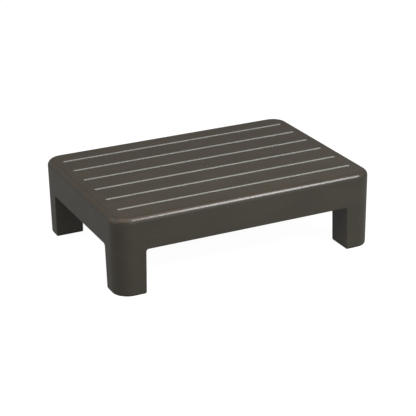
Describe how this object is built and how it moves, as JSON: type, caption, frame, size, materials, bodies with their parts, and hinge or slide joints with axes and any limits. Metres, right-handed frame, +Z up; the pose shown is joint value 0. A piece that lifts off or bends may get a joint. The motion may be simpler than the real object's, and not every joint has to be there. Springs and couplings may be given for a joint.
{
  "type": "step stool",
  "caption": "Low four-legged plastic step stool: flat oblong deck with rounded rim and anti-slip strips, deep apron, hollow ribbed underside and rubber feet.",
  "frame": {"origin": "on the floor under the middle of the stool", "axes": "+X along the length of the stool (its long side), +Y across it from the front long side to the back, +Z up"},
  "size_m": [0.4498, 0.3198, 0.1286],
  "materials": {
    "body_plastic": "satin, dark bronze brown",
    "strip_elastomer": "satin, light grey elastomer",
    "foot_rubber": "matte, black"
  },
  "bodies": {
    "root": {"step_body": "body_plastic", "grip_strip_1": "strip_elastomer", "grip_strip_2": "strip_elastomer", "grip_strip_3": "strip_elastomer", "grip_strip_4": "strip_elastomer", "grip_strip_5": "strip_elastomer", "grip_strip_6": "strip_elastomer", "foot_front_left": "foot_rubber", "foot_front_right": "foot_rubber", "foot_back_left": "foot_rubber", "foot_back_right": "foot_rubber"}
  },
  "joints": []
}
